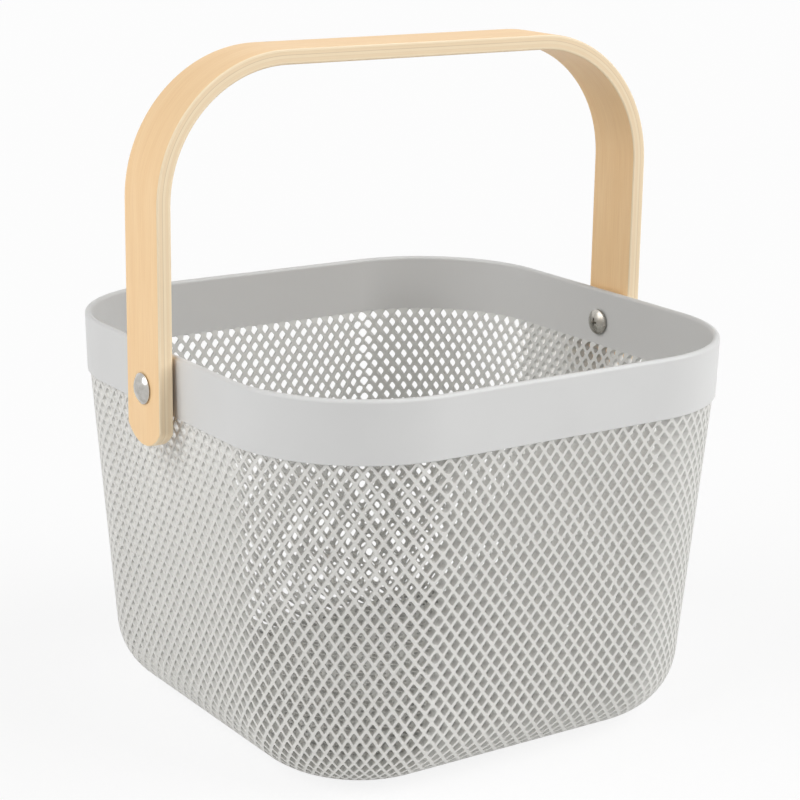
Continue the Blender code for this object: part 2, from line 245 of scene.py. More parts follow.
base_levels = [flat_points(base_middles + shape, share * SHEET)
               for shape, (share, _, _) in zip(base_shapes, HOLE_LEVELS)]
outer_points, shoulder_points, inner_points = map(list, zip(wall_levels, base_levels))
hole_points = len(wall_levels[0]) + len(base_levels[0])


def add_spots(column, down):
    """Adds spots to both faces of the sheet, and gives their numbers."""
    first = sum(len(points) for points in outer_points)
    outer_points.append(sheet_points(column, down, 0))
    inner_points.append(sheet_points(column, down, thickness(down)))
    return first + np.arange(len(outer_points[-1]))


half_columns = np.arange(2 * COLUMNS) / 2
collar_rings = [add_spots(half_columns, down) for down in (COLLAR_FOOT, COLLAR_MIDDLE, collar_top)]
base_ring = add_spots(half_columns, BASE_RING_DOWN)


def quads(lower, upper):
    """Faces between rings of points and the rings next to them."""
    return np.stack((lower, np.roll(lower, -1, -1), np.roll(upper, -1, -1), upper), -1).reshape(-1, 4)


# Surface between the holes: a node at each crossing, which takes in one corner of each hole round
# it, and the strands from node to node
holes = np.arange(ROWS * COLUMNS * HOLE_RING).reshape(ROWS, COLUMNS, HOLE_RING)
faces = []
for row in range(ROWS):
    here, right = holes[row], np.roll(holes[row], -1, 0)
    shift = -(row % 2)
    node = [right[:, (8, 7, 6)], here[:, (2, 1, 0)]]
    if row > 0:
        node.insert(1, np.roll(holes[row - 1], shift, 0)[:, (11, 10, 9)])
    else:
        node = [right[:, (8, 7)], here[:, (1, 0)]]
        edge = np.stack([np.roll(collar_rings[0], -k)[::2] for k in (2, 1, 0)], 1)
        faces += np.hstack((here[:, (4, 3, 2, 1)], right[:, (7, 6, 5, 4)], edge)).tolist()
    if row < ROWS - 1:
        below = np.roll(holes[row + 1], shift, 0)
        below_left = np.roll(below, 1, 0)
        node.append(below[:, (5, 4, 3)])
        faces += np.hstack((here[:, (11,)], below[:, (6, 5)], here[:, (0,)])).tolist()
        faces += np.hstack((below_left[:, (3, 2)], here[:, (9, 8)])).tolist()
    else:
        node = [right[:, (7, 6)], node[1], here[:, (2, 1)]]
        edge = np.stack([np.roll(base_ring, -k)[::2] for k in (0, 1, 2)], 1)
        faces += np.hstack((edge, right[:, (10, 9, 8, 7)], here[:, (1, 0, 11, 10)])).tolist()
    faces += np.hstack(node).tolist()

# Plain collar inside the band, with a hole for each pivot in the middle of +X and -X
bolt_rings = []
near_bolt = np.arange(-BOLT_PATCH, BOLT_PATCH + 1)
turns = np.arange(BOLT_HOLE_POINTS) * 2 * math.pi / BOLT_HOLE_POINTS
for middle in (0, COLUMNS):
    circle = np.column_stack((np.cos(turns), np.sin(turns))) * BOLT_HOLE_RADIUS
    ring = add_spots(middle / 2 + circle[:, 0] / COLUMN_PITCH, BOLT_DOWN - circle[:, 1])
    bolt_rings.append(ring)
    border, border_spots = [], []
    for ring_of_collar, height, order in ((collar_rings[0], BOLT_DOWN - COLLAR_FOOT, near_bolt),
                                          (collar_rings[1], BOLT_DOWN - COLLAR_MIDDLE, near_bolt[::-1])):
        border += [(k / 2 * COLUMN_PITCH, height, 0) for k in order]
        border_spots.append(ring_of_collar[middle + order])
    triangles = geometry.tessellate_polygon([border, [(x, y, 0) for x, y in circle]])
    faces += np.concatenate((*border_spots, ring))[np.array(triangles)].tolist()
off_patches = (np.arange(2 * COLUMNS) + BOLT_PATCH) % COLUMNS >= 2 * BOLT_PATCH
faces += quads(collar_rings[0], collar_rings[1])[off_patches].tolist()
faces += quads(collar_rings[1], collar_rings[2]).tolist()

# Base plate between its holes and its ring, which is level, so that both faces have one pattern
plate_numbers = np.concatenate((base_ring, holes.size + np.arange(len(base_levels[0]))))
plate_edges = [(k, (k + 1) % len(base_ring)) for k in range(len(base_ring))]
for first in range(len(base_ring), len(plate_numbers), HOLE_RING):
    plate_edges += [(first + k, first + (k + 1) % HOLE_RING) for k in range(HOLE_RING)]


def plate_triangles(levels):
    """Triangles of one face of the base plate, as numbers of its points."""
    flat = [Vector(place) for place in np.vstack(levels)[plate_numbers, :2] / MM]
    _, _, cells, came_from, _, _ = geometry.delaunay_2d_cdt(flat, plate_edges, [], 1, 1e-6)
    cells = np.array([[came_from[v][0] for v in cell] for cell in cells])
    hole = (cells - len(base_ring)) // HOLE_RING
    in_hole = (hole[:, 0] >= 0) & (hole[:, 0] == hole[:, 1]) & (hole[:, 1] == hole[:, 2])
    return plate_numbers[cells[~in_hole]]


# Both faces of the sheet, the walls of the holes, and the top edge
spots = sum(len(points) for points in outer_points)
outer_ring = np.arange(hole_points).reshape(-1, HOLE_RING)
inner_ring, shoulder_ring = outer_ring + spots, outer_ring + 2 * spots
faces += [[v + spots for v in reversed(face)] for face in faces]
faces += plate_triangles(outer_points)[:, ::-1].tolist()
faces += (plate_triangles(inner_points) + spots).tolist()
faces += quads(outer_ring, shoulder_ring).tolist() + quads(shoulder_ring, inner_ring).tolist()
for ring in (collar_rings[2], *bolt_rings):
    faces += quads(ring, ring + spots).tolist()

tub_mesh = bpy.data.meshes.new("perforated_tub")
tub_mesh.from_pydata(np.vstack(outer_points + inner_points + shoulder_points), [], faces)
joined = bmesh.new()
joined.from_mesh(tub_mesh)
bmesh.ops.recalc_face_normals(joined, faces=joined.faces)
joined.to_mesh(tub_mesh)
joined.free()
tub_mesh.shade_smooth()

# The edges round each hole are crisp, at each of its levels
edge_ends = np.empty(2 * len(tub_mesh.edges), dtype=np.int32)
tub_mesh.edges.foreach_get("vertices", edge_ends)
level, spot = np.divmod(edge_ends.reshape(-1, 2), spots)
hole = spot // HOLE_RING
same_hole = (spot < hole_points).all(1) & (level[:, 0] == level[:, 1]) & (hole[:, 0] == hole[:, 1])
crisp = tub_mesh.attributes.new("sharp_edge", "BOOLEAN", "EDGE")
crisp.data.foreach_set("value", same_hole)

# Painted shade: the sheet's inner face takes the darker inside colour fully, and the holes' walls darken
# gradually towards it
inner_shade = tub_mesh.attributes.new("painted_inner_shade", "FLOAT", "POINT")
inner_shade.data.foreach_set("value", np.arange(len(tub_mesh.vertices)) // spots == 1)


def linear(hex_colour):
    """Linear RGBA of an sRGB hex colour."""
    channels = [int(hex_colour[i:i + 2], 16) / 255 for i in (0, 2, 4)]
    return [c / 12.92 if c <= 0.04045 else ((c + 0.055) / 1.055) ** 2.4 for c in channels] + [1.0]


def add_node(tree, kind, inputs=None, **settings):
    """Adds a node with its settings; each input is given a value or the socket that feeds it."""
    node = tree.nodes.new(kind)
    for name, value in settings.items():
        setattr(node, name, value)
    for socket, value in (inputs or {}).items():
        if isinstance(value, bpy.types.NodeSocket):
            tree.links.new(value, node.inputs[socket])
        else:
            node.inputs[socket].default_value = value
    return node


def new_material(name, inputs):
    """Material with its one Principled shader set to the given constant inputs."""
    material = bpy.data.materials.new(name)
    material.use_nodes = True
    shader = material.node_tree.nodes["Principled BSDF"]
    for socket, value in inputs.items():
        shader.inputs[socket].default_value = value
    return material, material.node_tree, shader


def powder_coat(name, colour, shade, inside):
    """Satin polyester powder coat on steel: an even colour over a fine orange-peel skin, with painted
    shade towards the inner side.
    """
    material, tree, shader = new_material(name, {"IOR": 1.5, "Specular IOR Level": 0.5})
    place = add_node(tree, "ShaderNodeTexCoord").outputs["Object"]
    # The film is a little thicker in patches about 30 mm across
    patches = add_node(tree, "ShaderNodeTexNoise",
                       {"Vector": place, "Scale": 1 / (30 * MM), "Detail": 3.0}).outputs["Fac"]
    tint = add_node(tree, "ShaderNodeMix", {0: patches, 6: linear(colour), 7: linear(shade)},
                    data_type="RGBA").outputs[2]
    # Painted shade: the colour goes over to the darker inside colour towards the inner face, where shade
    # falls in the tub, its holes and the band
    inner_shade = add_node(tree, "ShaderNodeAttribute", attribute_name="painted_inner_shade").outputs["Fac"]
    tint = add_node(tree, "ShaderNodeMix", {0: inner_shade, 6: tint, 7: linear(inside)},
                    data_type="RGBA").outputs[2]
    # Orange peel of 1.2 mm, with the powder's own 0.25 mm grain on it, stands up 0.06 mm
    peel = add_node(tree, "ShaderNodeTexNoise",
                    {"Vector": place, "Scale": 1 / (1.2 * MM), "Detail": 1.0}).outputs["Fac"]
    grain = add_node(tree, "ShaderNodeTexNoise",
                     {"Vector": place, "Scale": 1 / (0.25 * MM), "Detail": 0.0}).outputs["Fac"]
    relief = add_node(tree, "ShaderNodeMix", {0: 0.3, 2: peel, 3: grain}).outputs[0]
    bump = add_node(tree, "ShaderNodeBump",
                    {"Height": relief, "Strength": 0.35, "Distance": 0.06 * MM}).outputs["Normal"]
    # The gloss varies a little with the peel
    gloss = add_node(tree, "ShaderNodeMapRange",
                     {"Value": peel, "To Min": 0.40, "To Max": 0.54}).outputs["Result"]
    tree.links.new(tint, shader.inputs["Base Color"])
    tree.links.new(gloss, shader.inputs["Roughness"])
    tree.links.new(bump, shader.inputs["Normal"])
    return material


def new_piece(name, mesh, *materials):
    """Object of a mesh and its materials, linked into the scene."""
    piece = bpy.data.objects.new(name, mesh)
    for material in materials:
        mesh.materials.append(material)
    bpy.context.scene.collection.objects.link(piece)
    return piece


# Painted shade: the inside colour, darker than the outer one, stands for the shade inside the tub and its
# holes
warm_grey = powder_coat("warm_grey_powder_coat", colour="DFDEDA", shade="D9D8D4", inside="D5D5D2")
tub = new_piece("perforated_tub", tub_mesh, warm_grey)
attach(tub, "basket")
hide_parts("mesh_tub")


# Rim band
# A strip of the same steel folded over the tub's upper edge with a half-round lip, smooth on both
# sides and powder-coated pale grey. The handle's pivots go through its two sides.

RIM_HALF = 125.0
RIM_CORNER = 66.0
RIM_HEIGHT = 184.0
BAND_SHEET = 0.9
SLOT = 1.5
BAND = 2 * BAND_SHEET + SLOT
BAND_FOOT_ROUNDING = 0.35
RIM_CORNER_STEPS = 28
LIP_STEPS = 14
PIVOT_HEIGHT = 168.0

# A tool that cuts stands this far clear of what it cuts
TOOL_SPARE = 10.0

# Shares of the band's thickness between which painted shade takes its outer colour over to the darker
# inner one
INNER_SHADE_TURN = (0.3, 0.7)


def arc(centre, radius, start, end, steps):
    """Points along an arc, angles in degrees."""
    angles = [math.radians(start + (end - start) * i / steps) for i in range(steps + 1)]
    return [(centre[0] + radius * math.cos(a), centre[1] + radius * math.sin(a)) for a in angles]


def inset_at(inset, height):
    """Point of the band's section, by its inset from the leaning outer face and way below the top."""
    return (-inset - BAND_LEAN * height, -height)


foot_depth = RIM_HEIGHT - BAND_FOOT
lip = BAND / 2
lip_centre = (-lip - BAND_LEAN * lip, -lip)
section = [inset_at(BAND_SHEET, foot_depth)]
section += arc(lip_centre, SLOT / 2, 0, 180, LIP_STEPS)
section += [inset_at(BAND - BAND_SHEET, foot_depth), inset_at(BAND - BAND_FOOT_ROUNDING, foot_depth)]
section += [inset_at(BAND, foot_depth - BAND_FOOT_ROUNDING)]
section += arc(lip_centre, lip, 180, 0, LIP_STEPS)
section += [inset_at(0, foot_depth - BAND_FOOT_ROUNDING), inset_at(BAND_FOOT_ROUNDING, foot_depth)]

# The section is swept round the four corners, and the straight sides lie between them
corner_centre = RIM_HALF - RIM_CORNER
corner_turns = [step / RIM_CORNER_STEPS * math.pi / 2 for step in range(RIM_CORNER_STEPS + 1)]
band_points = []
for spin in (0, math.pi / 2, math.pi, math.pi * 3 / 2):
    for turn in corner_turns:
        round_corner = [corner_centre + RIM_CORNER * share for share in (math.cos(turn), math.sin(turn))]
        place = Matrix.Rotation(spin, 2) @ Vector(round_corner)
        out = Matrix.Rotation(spin + turn, 2) @ Vector((1, 0))
        for x, y in section:
            spot = place + out * x
            band_points.append((spot.x * MM, spot.y * MM, (RIM_HEIGHT + y) * MM))
band_grid = np.arange(len(band_points)).reshape(-1, len(section))
band_mesh = bpy.data.meshes.new("rim_band_fold")
band_mesh.from_pydata(band_points, [], quads(band_grid, np.roll(band_grid, -1, 0)).tolist())


def round_bar(radius, reach, steps=48):
    """Mesh of a bar along the pivot axis, to cut with, that goes past the given reach."""
    bar = bmesh.new()
    across = Matrix.Translation((0, 0, PIVOT_HEIGHT * MM)) @ Matrix.Rotation(math.pi / 2, 4, "Y")
    bmesh.ops.create_cone(bar, cap_ends=True, segments=steps, radius1=radius * MM, radius2=radius * MM,
                          depth=2 * (reach + TOOL_SPARE) * MM, matrix=across)
    mesh = bpy.data.meshes.new("bar")
    bar.to_mesh(mesh)
    bar.free()
    return mesh


def carved(mesh, cutter):
    """The mesh with its normals outward and the cutter's mesh taken out of it."""
    turned_out = bmesh.new()
    turned_out.from_mesh(mesh)
    bmesh.ops.recalc_face_normals(turned_out, faces=turned_out.faces)
    turned_out.to_mesh(mesh)
    turned_out.free()
    blank, tool = new_piece("blank", mesh), new_piece("tool", cutter)
    cut = blank.modifiers.new("cut", "BOOLEAN")
    cut.object = tool
    cut.solver = "EXACT"
    bpy.context.view_layer.update()
    finished = blank.evaluated_get(bpy.context.evaluated_depsgraph_get())
    result = bpy.data.meshes.new_from_object(finished)
    result.name = mesh.name
    bpy.data.objects.remove(blank)
    bpy.data.objects.remove(tool)
    return result


def soft_edges(piece, angle):
    """Smooth shading up to an edge angle in degrees, with broad faces kept flat."""
    piece.data.shade_smooth()
    piece.data.set_sharp_from_angle(angle=math.radians(angle))
    weighted = piece.modifiers.new("flat_faces", "WEIGHTED_NORMAL")
    weighted.keep_sharp = True


def mesh_places(mesh):
    """Rows of x, y and z of a mesh's points, in metres."""
    places = np.empty(len(mesh.vertices) * 3)
    mesh.vertices.foreach_get("co", places)
    return places.reshape(-1, 3).T


band_mesh = carved(band_mesh, round_bar(BOLT_HOLE_RADIUS, RIM_HALF))
x, y, z = mesh_places(band_mesh) / MM
past_flat = np.abs((x, y)) - corner_centre
outward = np.where(past_flat.min(0) > 0, np.hypot(*past_flat), past_flat.max(0))
inset = RIM_CORNER - outward - BAND_LEAN * (RIM_HEIGHT - z)
# Painted shade: the band's inner side is coloured darker than its outer side
inner_shade = band_mesh.attributes.new("painted_inner_shade", "FLOAT", "POINT")
inner_shade.data.foreach_set("value", np.interp(inset / BAND, INNER_SHADE_TURN, (0, 1)))
pale_grey = powder_coat("pale_grey_powder_coat", colour="DADAD9", shade="D4D4D3", inside="CFCFCE")
band = new_piece("rim_band_fold", band_mesh, pale_grey)
soft_edges(band, angle=50)
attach(band, "basket")
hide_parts("rim_band")


# Sleeve nuts
# Turned and polished steel nuts with a domed head, nickel-plated. Each is pushed in from outside
# through the handle's leg, and its sleeve is the pin that the leg turns on.

LEG_INNER = 126.5
LEG_OUTER = 133.5
SEAT_GAP = 0.3
NUT_HEAD_RADIUS = 7.0
NUT_HEAD_HEIGHT = 3.0
NUT_HEAD_EDGE = 0.35
HEAD_FOOT_EASING = 0.15
SLEEVE_RADIUS = 3.0
SLEEVE_LENGTH = 12.72
SLEEVE_FLOOR = 3.0
THREAD_RADIUS = 2.3
LATHE_STEPS = 72


def turned(name, profile, closed=False):
    """Mesh turned about Z from (radius, height) points; a radius of 0 closes it on the axis."""
    points, rings = [], []
    for radius, height in profile:
        count = LATHE_STEPS if radius > 0 else 1
        rings.append([len(points) + k for k in range(count)])
        for k in range(count):
            angle = 2 * math.pi * k / LATHE_STEPS
            points.append((radius * math.cos(angle) * MM, radius * math.sin(angle) * MM, height * MM))
    surfaces = []
    for first, second in zip(rings, rings[1:] + ([rings[0]] if closed else [])):
        for k in range(LATHE_STEPS):
            corners = [first[k % len(first)], first[(k + 1) % len(first)],
                       second[(k + 1) % len(second)], second[k % len(second)]]
            surfaces.append(list(dict.fromkeys(corners)))
    mesh = bpy.data.meshes.new(name)
    mesh.from_pydata(points, [], surfaces)
    return mesh


def domed_head(radius, edge, height, lip_rounding=0.3, steps=14):
    """Profile of a domed head from its top down to its seat, with its rim rounded over."""
    rise = height - edge
    sphere = (radius ** 2 + rise ** 2) / (2 * rise)
    spread = math.degrees(math.asin((radius - lip_rounding) / sphere))
    crown = arc((0, height - sphere), sphere, 90, 90 - spread, steps)
    crown[0] = (0, height)
    return crown + arc((radius - lip_rounding, crown[-1][1] - lip_rounding), lip_rounding, 60, 0, 4)


thread_end = -SLEEVE_FLOOR - SEAT_GAP
nut_profile = domed_head(NUT_HEAD_RADIUS, NUT_HEAD_EDGE, NUT_HEAD_HEIGHT)
nut_profile += [(NUT_HEAD_RADIUS, HEAD_FOOT_EASING), (NUT_HEAD_RADIUS - HEAD_FOOT_EASING, 0),
                (SLEEVE_RADIUS, 0), (SLEEVE_RADIUS, -SLEEVE_LENGTH), (THREAD_RADIUS, -SLEEVE_LENGTH),
                (THREAD_RADIUS, thread_end), (0, thread_end)]


def polished_metal(name, colour, shade, roughness, rub):
    """Plated steel rubbed bright: faint turning marks, and a bloom that dulls it in places."""
    material, tree, shader = new_material(name, {"Metallic": 1.0})
    place = add_node(tree, "ShaderNodeTexCoord").outputs["Object"]
    # Handling leaves the plate duller in patches 5 mm across
    bloom = add_node(tree, "ShaderNodeTexNoise",
                     {"Vector": place, "Scale": 1 / (5 * MM), "Detail": 2.0}).outputs["Fac"]
    tarnish = add_node(tree, "ShaderNodeMapRange",
                       {"Value": bloom, "From Min": 0.25, "From Max": 0.75}).outputs["Result"]
    tint = add_node(tree, "ShaderNodeMix", {0: tarnish, 6: linear(colour), 7: linear(shade)},
                    data_type="RGBA").outputs[2]
    dull = add_node(tree, "ShaderNodeMapRange",
                    {"Value": bloom, "To Min": roughness, "To Max": roughness + rub}).outputs["Result"]
    # Turning marks and fine scratches, 0.15 mm apart and 0.02 mm deep
    marks = add_node(tree, "ShaderNodeTexNoise",
                     {"Vector": place, "Scale": 1 / (0.15 * MM), "Detail": 2.0}).outputs["Fac"]
    bump = add_node(tree, "ShaderNodeBump",
                    {"Height": marks, "Strength": 0.15, "Distance": 0.02 * MM}).outputs["Normal"]
    tree.links.new(tint, shader.inputs["Base Color"])
    tree.links.new(dull, shader.inputs["Roughness"])
    tree.links.new(bump, shader.inputs["Normal"])
    return material


nut_mesh = turned("domed_sleeve_nut", nut_profile)
polished_nickel = polished_metal("polished_nickel_plate", "CFCDC9", "A9A6A0", roughness=0.08, rub=0.12)
for side, cad_name in ((-1, "left_sleeve_nut"), (1, "right_sleeve_nut")):
    nut = new_piece("domed_" + cad_name, nut_mesh.copy(), polished_nickel)
    nut.data.transform(Matrix.Translation((side * (LEG_OUTER + SEAT_GAP) * MM, 0, PIVOT_HEIGHT * MM))
                       @ Matrix.Rotation(side * math.pi / 2, 4, "Y"))
    soft_edges(nut, angle=40)
    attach(nut, "basket")
    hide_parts(cad_name)


# Pivot screws
# Pan-head steel screws with a cross recess, nickel-plated. They are driven from inside the basket
# into the sleeves and hold the band, the washer and the handle's leg together.

SCREW_HEAD_RADIUS = 6.25
SCREW_HEAD_HEIGHT = 3.4
SCREW_HEAD_EDGE = 1.2
SCREW_LIP_ROUNDING = 0.45
SCREW_RADIUS = 2.0

# The cross recess is cut by two crossing wedges, given by length, width and height over the head's
# seat, at their top and at their narrower bottom
RECESS_TOP = (5.6, 1.15, SCREW_HEAD_HEIGHT + 1.0)
RECESS_BOTTOM = (2.52, 0.8625, SCREW_HEAD_HEIGHT - 2.2)

screw_seat = RIM_HALF - BAND - BAND_LEAN * (RIM_HEIGHT - PIVOT_HEIGHT + SCREW_HEAD_RADIUS) - SEAT_GAP
shank_end = -(LEG_OUTER - SLEEVE_FLOOR - SEAT_GAP - screw_seat)
screw_profile = domed_head(SCREW_HEAD_RADIUS, SCREW_HEAD_EDGE, SCREW_HEAD_HEIGHT, SCREW_LIP_ROUNDING)
screw_profile += [(SCREW_HEAD_RADIUS, HEAD_FOOT_EASING), (SCREW_HEAD_RADIUS - HEAD_FOOT_EASING, 0),
                  (SCREW_RADIUS, 0), (SCREW_RADIUS, shank_end), (0, shank_end)]

screw_mesh = turned("cross_recess_screw", screw_profile)
for spin in (0, math.pi / 2):
    wedge = bmesh.new()
    for vertex in bmesh.ops.create_cube(wedge, size=1.0)["verts"]:
        length, width, height = RECESS_BOTTOM if vertex.co.z < 0 else RECESS_TOP
        corner = Vector((vertex.co.x * length, vertex.co.y * width, height))
        vertex.co = Matrix.Rotation(spin, 3, "Z") @ corner * MM
    wedge_mesh = bpy.data.meshes.new("recess_wedge")
    wedge.to_mesh(wedge_mesh)
    wedge.free()
    screw_mesh = carved(screw_mesh, wedge_mesh)
worn_nickel = polished_metal("worn_nickel_plate", "C9C6BF", "98948C", roughness=0.18, rub=0.20)
for side, cad_name in ((-1, "left_pivot_screw"), (1, "right_pivot_screw")):
    screw = new_piece("pan_head_" + cad_name, screw_mesh.copy(), worn_nickel)
    screw.data.transform(Matrix.Translation((side * screw_seat * MM, 0, PIVOT_HEIGHT * MM))
                         @ Matrix.Rotation(-side * math.pi / 2, 4, "Y"))
    soft_edges(screw, angle=40)
    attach(screw, "basket")
    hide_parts(cad_name)


# Spacer washers
# Thin zinc-plated steel washers between the band and the handle's legs, which let the handle swing
# clear of the powder coat.

WASHER_RADIUS = 6.5
WASHER_BORE = 3.3
WASHER_EDGE = 0.15
WASHER_INNER_FACE = RIM_HALF - BAND_LEAN * (RIM_HEIGHT - PIVOT_HEIGHT - WASHER_RADIUS) + SEAT_GAP
washer_thickness = LEG_INNER - SEAT_GAP - WASHER_INNER_FACE

washer_profile = [(WASHER_RADIUS - WASHER_EDGE, washer_thickness),
                  (WASHER_RADIUS, washer_thickness - WASHER_EDGE), (WASHER_RADIUS, WASHER_EDGE),
                  (WASHER_RADIUS - WASHER_EDGE, 0), (WASHER_BORE, 0), (WASHER_BORE, washer_thickness)]
washer_mesh = turned("stamped_washer", washer_profile, closed=True)
dull_zinc = polished_metal("dull_zinc_plate", "ADADA9", "92928D", roughness=0.32, rub=0.16)
for side, cad_name in ((-1, "left_spacer_washer"), (1, "right_spacer_washer")):
    washer = new_piece("stamped_" + cad_name, washer_mesh.copy(), dull_zinc)
    washer.data.transform(Matrix.Translation((side * WASHER_INNER_FACE * MM, 0, PIVOT_HEIGHT * MM))
                          @ Matrix.Rotation(side * math.pi / 2, 4, "Y"))
    soft_edges(washer, angle=40)
    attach(washer, "basket")
    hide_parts(cad_name)


# Bow handle
# Five plies of birch veneer pressed in a mould into a U-shaped strip 30 mm wide and 7 mm thick,
# edges eased by hand and varnished clear. It turns on the two sleeve nuts.

HANDLE_TOP = 313.5
THICKNESS = LEG_OUTER - LEG_INNER
HALF_WIDTH = 15.0
BEND_RADIUS = 57.5
BEND_X = LEG_INNER - BEND_RADIUS
BEND_Z = HANDLE_TOP - THICKNESS - BEND_RADIUS
EASING = 0.9
LEAST_EASING = 0.02
LEG_FOOT = PIVOT_HEIGHT - 26.0
FOOT_RISE = 8.0
BORE_RADIUS = 3.1

# Steps of the mesh. From its arched foot a leg's rings straighten by the given shares, and are level
# from a little below the pivot
EASING_STEPS = 4
WIDTH_STEPS = 12
STRAIGHTENING = (0.3, 0.6, 1.0)
LEVEL_FROM = PIVOT_HEIGHT - 12.0
LEG_STEPS = 8
BEND_STEPS = 30
CROSSBAR_STEPS = 6

foot_radius = (HALF_WIDTH ** 2 + FOOT_RISE ** 2) / (2 * FOOT_RISE)


def strip_section(shrink):
    """Round the strip's section as (through, across), shrunk all round by a distance."""
    low, high = shrink, THICKNESS - shrink
    half = HALF_WIDTH - shrink
    ease = max(EASING - shrink, LEAST_EASING)
    row = [((2 * k / WIDTH_STEPS) - 1) * (half - ease) for k in range(WIDTH_STEPS + 1)]
    points = [(low, y) for y in row]
    points += arc((low + ease, half - ease), ease, 180, 90, EASING_STEPS)[1:]
    points += arc((high - ease, half - ease), ease, 90, 0, EASING_STEPS)
    points += [(high, y) for y in reversed(row[:-1])]
    points += arc((high - ease, ease - half), ease, 0, -90, EASING_STEPS)[1:]
    points += arc((low + ease, ease - half), ease, -90, -180, EASING_STEPS)[:-1]
    return points


def foot_height(across):
    """Height of the leg's arched lower end, by the distance from the middle of its width."""
    return LEG_FOOT + foot_radius - math.sqrt(foot_radius ** 2 - across ** 2)


# One side's stations from its foot up and over to the middle of the crossbar, then the mirror of it
foot_stations = []
for step in range(EASING_STEPS + 1):
    angle = math.pi / 2 * step / EASING_STEPS
    foot_stations.append((EASING * (1 - math.sin(angle)), EASING * (1 - math.cos(angle))))
strip_rings = []
for shrink, lift in foot_stations:
    strip_rings.append([(LEG_INNER + t, y, foot_height(y) + lift) for t, y in strip_section(shrink)])
full_section = strip_section(0)
for share in STRAIGHTENING:
    strip_rings.append([(LEG_INNER + t, y, (1 - share) * (foot_height(y) + EASING) + share * LEVEL_FROM)
                        for t, y in full_section])
for step in range(1, LEG_STEPS + 1):
    level = LEVEL_FROM + (BEND_Z - LEVEL_FROM) * step / LEG_STEPS
    strip_rings.append([(LEG_INNER + t, y, level) for t, y in full_section])
for step in range(1, BEND_STEPS + 1):
    angle = math.pi / 2 * step / BEND_STEPS
    out, up = math.cos(angle), math.sin(angle)
    strip_rings.append([(BEND_X + (BEND_RADIUS + t) * out, y, BEND_Z + (BEND_RADIUS + t) * up)
                        for t, y in full_section])
for step in range(1, CROSSBAR_STEPS):
    x = BEND_X * (1 - step / CROSSBAR_STEPS)
    strip_rings.append([(x, y, BEND_Z + BEND_RADIUS + t) for t, y in full_section])
mirrored = [[(-x, y, z) for x, y, z in ring] for ring in reversed(strip_rings)]
strip_rings.append([(0, y, BEND_Z + BEND_RADIUS + t) for t, y in full_section])
strip_rings += mirrored

# Each ring runs along the strip's inner face, round an eased edge, back along the outer face and
# round the other edge. The ends are closed by quads across the width and one face at each edge
strip_grid = np.arange(len(strip_rings) * len(full_section)).reshape(-1, len(full_section))
strip_faces = quads(strip_grid[:-1], strip_grid[1:]).tolist()
outer_first = WIDTH_STEPS + 2 * EASING_STEPS + 1
outer_last = outer_first + WIDTH_STEPS
for end in (strip_grid[0], strip_grid[-1]):
    inner, outer = end[:WIDTH_STEPS + 1], end[outer_first:outer_last + 1][::-1]
    strip_faces += np.stack((inner[:-1], inner[1:], outer[1:], outer[:-1]), 1).tolist()
    strip_faces.append(end[WIDTH_STEPS:outer_first + 1].tolist())
    strip_faces.append(np.append(end[outer_last:], end[0]).tolist())
strip_points = [(x * MM, y * MM, z * MM) for ring in strip_rings for x, y, z in ring]
strip_mesh = bpy.data.meshes.new("birch_bow_handle")
strip_mesh.from_pydata(strip_points, [], strip_faces)
strip_mesh = carved(strip_mesh, round_bar(BORE_RADIUS, LEG_OUTER))

# Where each point lies in the strip before bending: along it, across it and through it
x, y, z = mesh_places(strip_mesh) / MM
from_bend_x, from_bend_z = np.abs(x) - BEND_X, z - BEND_Z
bend_angle = np.clip(np.arctan2(from_bend_x, from_bend_z), 0, math.pi / 2)
above_leg = from_bend_z > 0
in_bend = above_leg & (from_bend_x > 0)
through = np.where(above_leg, from_bend_z - BEND_RADIUS, np.abs(x) - LEG_INNER)
through = np.where(in_bend, np.hypot(from_bend_x, from_bend_z) - BEND_RADIUS, through)
along_top = np.minimum(np.abs(x), BEND_X) + bend_angle * BEND_RADIUS
along_leg = BEND_X + math.pi / 2 * BEND_RADIUS - from_bend_z
along = np.where(above_leg, along_top, along_leg) * np.sign(x)
unbent = strip_mesh.attributes.new("unbent", "FLOAT_VECTOR", "POINT")
unbent.data.foreach_set("vector", (np.stack((along, y, through), -1) * MM).ravel())

# Birch plywood: cream veneer with fine long fibres and faint broad figure on its faces; on the
# edges the plies show as pale and darker stripes with brown glue lines. Clear satin varnish.
# A glue line's width is a share of a ply, and its tint a share of the glue's brown. The edge goes
# over to the face veneers between two distances from the strip's middle
PLY = THICKNESS / 5
GLUE_LINE = 0.10
GLUE_TINT = 0.14
DARK_GLUE_LINE = 0.16
DARK_GLUE_TINT = 0.4
EDGE_TO_FACE = (3.30, 3.42)

material, tree, shader = new_material("clear_varnished_birch_plywood",
                                      {"IOR": 1.5, "Specular IOR Level": 0.4,
                                       "Coat Weight": 0.12, "Coat Roughness": 0.3})
strip_place = add_node(tree, "ShaderNodeAttribute", attribute_name="unbent").outputs["Vector"]
# Fibres 0.7 mm wide and about 25 mm long, drawn coarser than birch's own so that they show
fibre_scale = [1 / (size * MM) for size in (25, 0.7, 0.7)]
fibre_place = add_node(tree, "ShaderNodeVectorMath", {0: strip_place, 1: fibre_scale},
                       operation="MULTIPLY").outputs[0]
fibres = add_node(tree, "ShaderNodeTexNoise",
                  {"Vector": fibre_place, "Scale": 1.0, "Detail": 4.0, "Roughness": 0.6}).outputs["Fac"]
